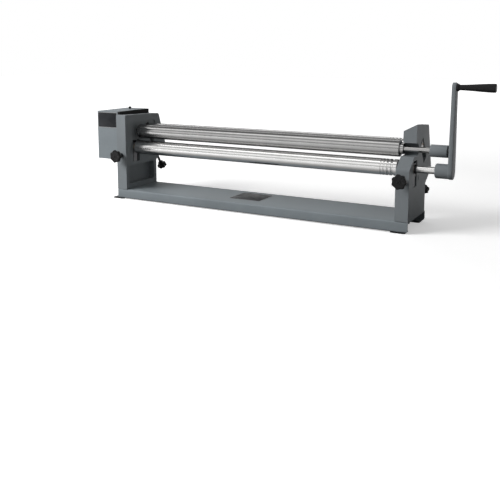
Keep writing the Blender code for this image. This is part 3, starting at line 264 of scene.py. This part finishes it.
def enamel(name, colour, grain, grain_scale):
    """Semi-gloss grey machine enamel, with its fine peel, faint mottling and rubbed edges."""
    made = Shader(name)
    patches = made.noise(scale=5, detail=4, roughness=0.6)
    specks = made.noise(scale=900, detail=2, seed=3.1)
    rubs = made.noise(scale=45, detail=4, roughness=0.7, seed=1.7)
    skin = made.noise(scale=420, detail=2, roughness=0.45)
    cast = made.noise(scale=grain_scale, detail=5, roughness=0.62, seed=2.2)
    tone = made.blend(made.spread(patches, 0, 1), shade(colour, 0.90), shade(colour, 1.07))
    speckled = made.spread(specks, 0, 0.16, from_low=0.62, from_high=0.75)
    tone = made.blend(speckled, tone, shade(colour, 0.6))
    worn = made.maths("MULTIPLY", made.edges(radius=0.0016), made.spread(rubs, 0.15, 0.75))
    tone = made.blend(worn, tone, shade(colour, 1.75, lift=0.03))
    peel = made.bump(skin, strength=0.10, distance=0.0004)
    made.set(Base_Color=tone, Roughness=made.spread(patches, 0.36, 0.50),
             Normal=made.bump(cast, strength=grain, distance=0.0009, normal=peel),
             IOR=1.5, Specular_IOR_Level=0.24, Coat_Weight=0.02, Coat_Roughness=0.22)
    return made.material


def ground_steel(name, colour, roughness):
    """Steel ground while it turned about X: fine rings, drawn-out highlights, handling marks."""
    made = Shader(name)
    rings = made.noise(scale=1, detail=3, roughness=0.7, stretch=(1500, 6, 6))
    broad = made.noise(scale=1, detail=3, roughness=0.6, stretch=(34, 3, 3), seed=4.0)
    runs = made.noise(scale=1, detail=4, roughness=0.65, stretch=(2.2, 130, 130), seed=7.0)
    smears = made.noise(scale=9, detail=4, roughness=0.6, stretch=(1, 2.5, 2.5), seed=9.0)
    tone = made.blend(made.spread(broad, 0, 1), shade(colour, 0.95), shade(colour, 1.02))
    streaked = made.spread(runs, 0, 0.25, from_low=0.55, from_high=0.72)
    tone = made.blend(streaked, tone, shade(colour, 0.70))
    finish = made.maths("ADD", made.spread(rings, roughness * 0.9, roughness * 1.1),
                        made.spread(smears, 0, 0.06, from_low=0.45))
    made.set(Base_Color=tone, Roughness=finish, Metallic=1, Anisotropic=0.55,
             Normal=made.bump(rings, strength=0.01, distance=0.0002),
             Specular_Tint=(0.42, 0.42, 0.43, 1),
             Tangent=made.add("ShaderNodeCombineXYZ", {"X": 1.0}).outputs[0])
    return made.material


def worked_metal(name, colour, roughness, metallic, grain, grain_scale):
    """Dark iron, blackened steel or bronze: mottled, with rubbed edges and a fine grain."""
    made = Shader(name)
    mottle = made.noise(scale=38, detail=5, roughness=0.65)
    fine = made.noise(scale=grain_scale, detail=4, roughness=0.6, seed=5.0)
    tone = made.blend(made.spread(mottle, 0, 1), shade(colour, 0.65), shade(colour, 1.25))
    worn = made.maths("MULTIPLY", made.edges(radius=0.0010), made.spread(mottle, 0.1, 0.6))
    tone = made.blend(worn, tone, shade(colour, 2.2, lift=0.05))
    made.set(Base_Color=tone, Roughness=made.spread(mottle, roughness * 0.8, roughness * 1.25),
             Metallic=metallic, Normal=made.bump(fine, strength=grain, distance=0.0006))
    return made.material


def moulded(name, colour, roughness, coat, grain, grain_scale):
    """Moulded black plastic or rubber, with a fine skin and hazed, handled high spots."""
    made = Shader(name)
    haze = made.noise(scale=28, detail=4, roughness=0.6)
    skin = made.noise(scale=grain_scale, detail=3, seed=6.0)
    tone = made.blend(made.spread(haze, 0, 1), shade(colour, 1), shade(colour, 1.6, lift=0.003))
    worn = made.maths("MULTIPLY", made.edges(radius=0.0006), made.spread(haze, 0.05, 0.3))
    tone = made.blend(worn, tone, shade(colour, 2, lift=0.008))
    made.set(Base_Color=tone, Roughness=made.spread(haze, roughness * 0.8, roughness * 1.3),
             Normal=made.bump(skin, strength=grain, distance=0.0004),
             Specular_IOR_Level=0.20, Coat_Weight=coat, Coat_Roughness=0.12)
    return made.material


materials = {
    "grey_enamel": enamel("grey enamel on castings", (0.215, 0.235, 0.248),
                          grain=0.22, grain_scale=75),
    "sheet_enamel": enamel("grey enamel on folded sheet", (0.226, 0.254, 0.271),
                           grain=0.03, grain_scale=40),
    "ground_steel": ground_steel("ground steel", (0.86, 0.855, 0.845), roughness=0.19),
    # A darker copy of the same ground steel, as painted shade: the top roll and the other
    # ground-steel parts take it, and the lower and rear rolls keep the bright steel
    "shaded_ground_steel": ground_steel("ground steel darkened as painted shade", (0.47, 0.468, 0.463),
                              roughness=0.17),
    "dark_steel": worked_metal("blackened steel", (0.040, 0.041, 0.044),
                               roughness=0.36, metallic=0.75, grain=0.12, grain_scale=500),
    "cast_iron": worked_metal("machined cast iron", (0.13, 0.132, 0.136),
                              roughness=0.42, metallic=0.85, grain=0.25, grain_scale=300),
    "bronze": worked_metal("bearing bronze", (0.24, 0.165, 0.085),
                           roughness=0.45, metallic=1.0, grain=0.10, grain_scale=400),
    "black_plastic": moulded("moulded black plastic", (0.006, 0.006, 0.0065),
                             roughness=0.30, coat=0.08, grain=0.05, grain_scale=600),
    "black_rubber": moulded("black rubber", (0.014, 0.014, 0.014),
                            roughness=0.70, coat=0.0, grain=0.25, grain_scale=500),
    "plate": moulded("bare dark plate", (0.014, 0.015, 0.017),
                     roughness=0.42, coat=0.03, grain=0.05, grain_scale=700),
    "plate_rim": worked_metal("plate rim", (0.34, 0.345, 0.35),
                              roughness=0.34, metallic=0.9, grain=0.06, grain_scale=500),
}
SHEET_NODES = ("base_channel", "gear_guard", "guard_lid")


# Pieces
def settle(piece, node, finish=None):
    """Puts a finished mesh in place of a CAD node, on that node's body and with its slot."""
    slot = slot_of[node]
    piece.data.materials.append(materials[finish or slot])
    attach(piece, body_of[node])
    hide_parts(node)


def mesh_piece(name, bm, smooth):
    bmesh.ops.recalc_face_normals(bm, faces=bm.faces)
    mesh = bpy.data.meshes.new(name)
    bm.to_mesh(mesh)
    bm.free()
    mesh.shade_smooth()
    mesh.set_sharp_from_angle(angle=math.radians(smooth))
    return new_object(name, mesh)


def join_rings(bm, rings, bored=False):
    """Faces from each ring to the next, then flat ends or, in a bored body, a wall inside."""
    pairs = list(zip(rings, rings[1:]))
    if bored:
        pairs.append((rings[-1], rings[0]))
    for first, second in pairs:
        for k in range(len(first)):
            n = (k + 1) % len(first)
            bm.faces.new((first[k], first[n], second[n], second[k]))
    if not bored:
        bm.faces.new(rings[0])
        bm.faces.new(rings[-1])


def quarter_turn(steps):
    """Angles from nought to a right angle, both included."""
    return [math.pi / 2 * k / steps for k in range(steps + 1)]


def eased_copy(node, width, sharp_round=None):
    """A copy of a CAD node with its flat faces joined up and its edges eased.

    Edges within SWIVEL_REACH of the line along X through sharp_round stay sharp.
    """
    bm = bmesh.new()
    bm.from_mesh(frame["nodes"][node].data)
    bmesh.ops.remove_doubles(bm, verts=bm.verts, dist=MERGE_DISTANCE)
    bmesh.ops.dissolve_limit(bm, angle_limit=FLAT_ANGLE, verts=bm.verts, edges=bm.edges)
    bm.verts.index_update()
    clean = bmesh.new()
    made = [clean.verts.new(v.co) for v in bm.verts]
    for face in bm.faces:
        clean.faces.new([made[v.index] for v in face.verts])
    bm.free()
    if sharp_round is not None:
        weight = clean.edges.layers.float.new("bevel_weight_edge")
        for edge in clean.edges:
            away = (edge.verts[0].co + edge.verts[1].co) / 2 - sharp_round
            turns = len(edge.link_faces) == 2 and edge.calc_face_angle() > EASED_ANGLE
            edge[weight] = float(turns and math.hypot(away.y, away.z) > SWIVEL_REACH)
    piece = mesh_piece("dressed_" + node, clean, EASED_SMOOTH)
    bevel = piece.modifiers.new("edge", "BEVEL")
    bevel.width = width
    bevel.segments = BEVEL_STEPS
    bevel.limit_method = "ANGLE" if sharp_round is None else "WEIGHT"
    bevel.angle_limit = EASED_ANGLE
    bevel.harden_normals = True
    return piece


def turned(name, profile, middle, bored=False, segments=ROUND):
    """A body turned about a line along X, from (x, radius) pairs, x from the rolls' middle."""
    bm = bmesh.new()
    turns = [2 * math.pi * k / segments for k in range(segments)]
    rings = [[bm.verts.new((MID_X + x, middle.y + radius * math.cos(turn),
                            middle.z + radius * math.sin(turn))) for turn in turns]
             for x, radius in profile]
    join_rings(bm, rings, bored)
    return mesh_piece(name, bm, TURNED_SMOOTH)


def ends_of(node):
    low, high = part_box(node)
    return low.x - MID_X, high.x - MID_X


def eased_rim(x, radius, edge, rising):
    """The small round at x, on the low end of a turned body where rising, else on the high one."""
    points = [(x + edge * (1 - math.cos(turn)), radius - edge + edge * math.sin(turn))
              for turn in quarter_turn(EDGE_STEPS)]
    return points if rising else [(2 * x - px, pr) for px, pr in reversed(points)]


def roll_profile(grooved):
    """A roll between its journals, with the wire grooves near its right end."""
    body = eased_rim(-HALF_ROLL, ROLL_RADIUS, ROLL_EDGE, True)
    if grooved:
        x = (HALF_ROLL - GROOVE_MARGIN - sum(2 * radius for radius in GROOVE_RADII)
             - GROOVE_LAND * (len(GROOVE_RADII) - 1))
        for radius in GROOVE_RADII:
            for k in range(GROOVE_STEPS + 1):
                turn = math.pi * k / GROOVE_STEPS
                body.append((x + radius - radius * math.cos(turn),
                             ROLL_RADIUS - radius * math.sin(turn)))
            x += 2 * radius + GROOVE_LAND
    return body + eased_rim(HALF_ROLL, ROLL_RADIUS, ROLL_EDGE, False)


def make_rolls():
    """The three rolls with their journals; only the top one has a shoulder and no grooves."""
    for node, journal in JOURNAL_RADII.items():
        top = node == "top_roll"
        low, high = ends_of(node)
        profile = [(low, journal - JOURNAL_EDGE), (low + JOURNAL_EDGE, journal),
                   (-HALF_ROLL, journal)]
        profile += roll_profile(grooved=not top)
        if top:
            end = HALF_ROLL + SHOULDER_LENGTH
            profile += [(HALF_ROLL, SHOULDER_RADIUS), (end - SHOULDER_EDGE, SHOULDER_RADIUS),
                        (end, SHOULDER_RADIUS - SHOULDER_EDGE), (end, journal)]
        else:
            profile += [(HALF_ROLL, journal)]
        profile += [(high - JOURNAL_EDGE, journal), (high, journal - JOURNAL_EDGE)]
        # The top roll takes the darker copy of the ground steel, a painted shade
        settle(turned("dressed_" + node, profile, box_middle(node)), node,
               "shaded_ground_steel" if top else None)


def make_turned_trim():
    """The release sleeve, its cap and the grip, which flares smoothly; all are bored."""
    middle = box_middle("release_sleeve")
    low, high = ends_of("release_sleeve")
    sleeve = eased_rim(low, SLEEVE_RADIUS, SLEEVE_EDGE, True)
    sleeve += eased_rim(high, SLEEVE_RADIUS, SLEEVE_EDGE, False)
    sleeve += [(high, SLEEVE_BORE), (low, SLEEVE_BORE)]
    settle(turned("dressed_release_sleeve", sleeve, middle, True), "release_sleeve")
    low, high = ends_of("sleeve_cap")
    cap = [(low, CAP_RADIUS)] + eased_rim(high, CAP_RADIUS, SLEEVE_EDGE, False)
    cap += [(high, SLEEVE_BORE), (low, SLEEVE_BORE)]
    settle(turned("dressed_sleeve_cap", cap, middle, True), "sleeve_cap")
    low, high = ends_of("crank_grip")
    grip = []
    for k in range(GRIP_STEPS + 1):
        share = k / GRIP_STEPS
        flare = share * share * (3 - 2 * share)
        grip.append((low + (high - low - GRIP_NOSE) * share, GRIP_NECK + GRIP_FLARE * flare))
    for turn in quarter_turn(GRIP_NOSE_STEPS)[1:]:
        grip.append((high - GRIP_NOSE + GRIP_NOSE * math.sin(turn),
                     GRIP_NECK + GRIP_FLARE - GRIP_NOSE + GRIP_NOSE * math.cos(turn)))
    floor = high - GRIP_RECESS_DEPTH
    grip += [(high, GRIP_RECESS_RADIUS), (floor, GRIP_RECESS_RADIUS), (floor, GRIP_BORE),
             (low, GRIP_BORE)]
    settle(turned("dressed_crank_grip", grip, box_middle("crank_grip"), True, GRIP_ROUND),
           "crank_grip")


def make_knob(node, direction, radius):
    """A star knob with rounded lobes and a hub, in the CAD knob's place and facing direction."""
    way = Vector(direction).normalized()
    middle = box_middle(node)
    start = min((v.co - middle).dot(way) for v in frame["nodes"][node].data.vertices)
    turn_x = Vector((1, 0, 0)).rotation_difference(way).to_matrix().to_4x4()
    place = Matrix.Translation(middle + way * start) @ turn_x
    end = HUB_LENGTH + HEAD_LENGTH
    dish = radius - HEAD_RIM
    rings = [(0, HUB_RADIUS - HUB_EDGE, 0), (HUB_EDGE, HUB_RADIUS, 0),
             (HUB_LENGTH - HUB_FILLET, HUB_RADIUS, 0), (HUB_LENGTH, HUB_RADIUS + HUB_FILLET, 0)]
    rings += [(HUB_LENGTH + HEAD_EDGE * (1 - math.cos(turn)),
               radius - HEAD_EDGE * (1 - math.sin(turn)), LOBE_DEPTH)
              for turn in quarter_turn(HEAD_EDGE_STEPS)]
    rings += [(end - HEAD_EDGE + HEAD_EDGE * math.sin(turn),
               radius - HEAD_EDGE * (1 - math.cos(turn)), LOBE_DEPTH)
              for turn in quarter_turn(HEAD_EDGE_STEPS)]
    rings += [(end, dish, LOBE_DEPTH * RIM_LOBE_SHARE), (end - DISH_DEPTH, dish - DISH_SLOPE, 0),
              (end - DISH_DEPTH, BOSS_RADIUS, 0), (end, BOSS_RADIUS - BOSS_EDGE, 0),
              (end, SOCKET_RADIUS, 0), (end - SOCKET_DEPTH, SOCKET_RADIUS - SOCKET_SLOPE, 0)]
    bm = bmesh.new()
    made = []
    for x, reach, lobe in rings:
        ring = []
        for k in range(LOBES * LOBE_ROUND):
            turn = 2 * math.pi * k / (LOBES * LOBE_ROUND)
            r = reach - lobe * (1 - math.cos(LOBES * turn)) / 2
            ring.append(bm.verts.new(place @ Vector((x, r * math.cos(turn), r * math.sin(turn)))))
        made.append(ring)
    join_rings(bm, made)
    settle(mesh_piece("dressed_" + node, bm, KNOB_SMOOTH), node)


def make_knobs():
    joints = record["behaviour"]["joints"]
    rear = next(j for j in joints if j["name"] == "rear_carriage_slide")["axis"]
    for side in ("left", "right"):
        make_knob("front_knob_" + side, (0, -1, 0), FRONT_KNOB_RADIUS)
        make_knob("rear_knob_" + side, [-a for a in rear], REAR_KNOB_RADIUS)


def dress_the_rest():
    """Eased edges and a finish for every CAD node that nothing replaces yet."""
    for node, source in frame["nodes"].items():
        if source.hide_render:
            continue
        sharp_round = finish = None
        if node == "left_housing":
            sharp_round = source.matrix_world.inverted() @ box_middle("top_roll")
        # Other ground-steel parts take the darker copy of the ground steel too, a painted shade
        if slot_of[node] == "ground_steel":
            finish = "shaded_ground_steel"
        elif node in SHEET_NODES:
            finish = "sheet_enamel"
        settle(eased_copy(node, EASED_WIDTHS.get(node, EASED_WIDTH), sharp_round), node, finish)


def rounded_plate(name, spot, size, thickness, corner, up, out):
    """A thin plate with round corners and an eased rim, lying on a face at spot."""
    across, up, out = Vector((1, 0, 0)), Vector(up), Vector(out)
    bm = bmesh.new()
    rings = []
    for inset, lift in ((0, 0), (0, thickness * PLATE_WALL_SHARE),
                        (thickness * PLATE_EDGE_SHARE, thickness)):
        w, h, c = size[0] / 2 - inset, size[1] / 2 - inset, corner - inset
        ring = []
        for sx, sy, start in ((1, 1, 0), (-1, 1, 90), (-1, -1, 180), (1, -1, 270)):
            for k in range(PLATE_CORNER_STEPS + 1):
                turn = math.radians(start + 90 / PLATE_CORNER_STEPS * k)
                x = sx * (w - c) + c * math.cos(turn)
                y = sy * (h - c) + c * math.sin(turn)
                ring.append(bm.verts.new(spot + across * x + up * y + out * lift))
        rings.append(ring)
    join_rings(bm, rings)
    return mesh_piece(name, bm, PLATE_SMOOTH)


def bare_plate(name, spot, size, corners, up, out):
    """A dark face on a bright rim."""
    inner = [s - 2 * PLATE_BORDER for s in size]
    raised = spot + Vector(out) * PLATE_RIM
    rim = rounded_plate(name + "_rim", spot, size, PLATE_RIM, corners[0], up, out)
    face = rounded_plate(name + "_face", raised, inner, PLATE_FACE, corners[1], up, out)
    for piece, finish, slot in ((rim, "plate_rim", "ground_steel"),
                                (face, "plate", "black_plastic")):
        piece.data.materials.append(materials[finish])
        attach(piece, "base_frame")


def make_plates():
    """Bare plates on the base and on the gear guard's front."""
    low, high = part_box("base_channel")
    bare_plate("base_plate", Vector((MID_X - BASE_PLATE_LEFT, low.y + BASE_PLATE_BACK, high.z)),
               BASE_PLATE_SIZE, BASE_PLATE_CORNERS, up=(0, 1, 0), out=(0, 0, 1))
    low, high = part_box("gear_guard")
    bare_plate("guard_plate", Vector((low.x + GUARD_PLATE_RIGHT, low.y, high.z - GUARD_PLATE_DOWN)),
               GUARD_PLATE_SIZE, GUARD_PLATE_CORNERS, up=(0, 0, 1), out=(0, -1, 0))


# Floor: metres to its edge, and how far it lies under the feet
FLOOR_REACH = 14
FLOOR_DROP = 0.0006
FLOOR_GREY = (0.20, 0.20, 0.20, 1)


def make_stage():
    """A floor that looks pale and glows to the camera and is grey to bounced light; to shiny
    surfaces it is grey near the machine, as painted shade under it, and pale farther out.
    """
    mesh = bpy.data.meshes.new("floor")
    corners = ((-1, -1), (1, -1), (1, 1), (-1, 1))
    mesh.from_pydata([(x * FLOOR_REACH, y * FLOOR_REACH, 0) for x, y in corners], [],
                     [(0, 1, 2, 3)])
    floor = new_object("floor", mesh)
    floor.location.z = -FLOOR_DROP
    made = Shader("pale floor")
    ray = made.add("ShaderNodeLightPath").outputs
    across = made.add("ShaderNodeSeparateXYZ", {0: made.place}).outputs["Y"]
    # Rays off shiny parts see the floor grey near the line under the machine and pale farther out:
    # a painted shade under the machine, seen in the rolls
    away = made.spread(made.maths("ABSOLUTE", across), 0.03, 0.60, from_low=0.12, from_high=0.55)
    reflected_with_painted_shade = made.maths("MULTIPLY", ray["Is Glossy Ray"], away)
    seen = made.maths("MAXIMUM", made.maths("MAXIMUM", ray["Is Camera Ray"], reflected_with_painted_shade),
                      ray["Is Transmission Ray"])
    tone = made.spread(made.noise(scale=1.3, detail=4, roughness=0.6), 0.985, 1.0)
    pale = made.add("ShaderNodeCombineColor", {0: tone, 1: tone, 2: tone}).outputs[0]
    reach = made.add("ShaderNodeVectorMath", {0: made.place}, operation="LENGTH").outputs["Value"]
    far = made.spread(reach, 0.42, 1.1, from_low=1.6, from_high=5.0)
    made.set(Base_Color=made.blend(seen, FLOOR_GREY, pale), Roughness=0.9, Specular_IOR_Level=0.1,
             Emission_Color=(1, 1, 1, 1), Emission_Strength=made.maths("MULTIPLY", seen, far))
    mesh.materials.append(made.material)


# Lamps: name, then place and aim from a point AIM_HEIGHT over the floor, size in metres, watts
AIM_HEIGHT = 0.25
KEY_LAMP = ("key", (-3.0, -3.1, 2.4), (0, 0, 0), (2.6, 2.2), 248)
STRIP_LAMPS = (("back strip", (-1.7, 1.93, 1.74), (-1.7, 0, 0), (4.2, 0.9), 14),
               ("front strip", (-1.7, -0.72, 2.5), (-1.7, 0, 0), (4.2, 0.5), 6))

# What shiny surfaces see round the X axis, from the front horizon at 0 to the rear one at 1
SKY_BANDS = ((0.0, 0.42), (0.07, 0.42), (0.11, 1.0), (0.22, 1.0), (0.25, 0.25), (0.30, 0.25),
             (0.33, 0.9), (0.46, 0.9), (0.49, 0.08), (0.93, 0.05), (0.97, 1.0), (1.0, 1.0))
SKY_DIM = 0.17
SKY_FULL = 1.0


def area_light(name, place, aim, size, watts):
    middle = Vector((MID_X, 0, AIM_HEIGHT))
    spot, target = middle + Vector(place), middle + Vector(aim)
    data = bpy.data.lights.new(name, "AREA")
    data.shape = "RECTANGLE"
    data.size, data.size_y = size
    data.energy = watts
    lamp = new_object(name, data)
    lamp.location = spot
    lamp.rotation_euler = (target - spot).to_track_quat("-Z", "Y").to_euler()
    return lamp


def make_sky():
    """White to the camera, banded to shiny surfaces and dim to everything else."""
    world = bpy.data.worlds.new("studio")
    world.use_nodes = True
    made = Nodes(world.node_tree)
    ray = made.add("ShaderNodeLightPath").outputs
    seen = made.maths("MAXIMUM", ray["Is Camera Ray"], ray["Is Transmission Ray"])
    view = made.add("ShaderNodeTexCoord").outputs["Generated"]
    split = made.add("ShaderNodeSeparateXYZ", {0: view}).outputs
    height = made.maths("ARCTAN2", split["Z"], made.maths("MULTIPLY", split["Y"], -1))
    bands = made.add("ShaderNodeValToRGB", {"Fac": made.maths("DIVIDE", height, math.pi)})
    steps = bands.color_ramp.elements
    for place, _ in SKY_BANDS[1:-1]:
        steps.new(place)
    for step, (_, grey) in zip(steps, SKY_BANDS):
        step.color = (grey, grey, grey, 1)
    shiny = made.maths("MULTIPLY", ray["Is Glossy Ray"], bands.outputs["Color"])
    share = made.maths("MAXIMUM", seen, shiny)
    back = made.tree.nodes["Background"]
    made.feed(back.inputs["Color"], (1, 1, 1, 1))
    made.feed(back.inputs["Strength"],
              made.spread(share, SKY_DIM, SKY_FULL, from_low=0, from_high=1))
    bpy.context.scene.world = world


place_camera()
make_rolls()
make_turned_trim()
make_knobs()
dress_the_rest()
make_plates()
make_stage()
area_light(*KEY_LAMP).visible_glossy = False
for lamp in STRIP_LAMPS:
    area_light(*lamp)
make_sky()
bpy.context.scene.view_settings.view_transform = "Standard"
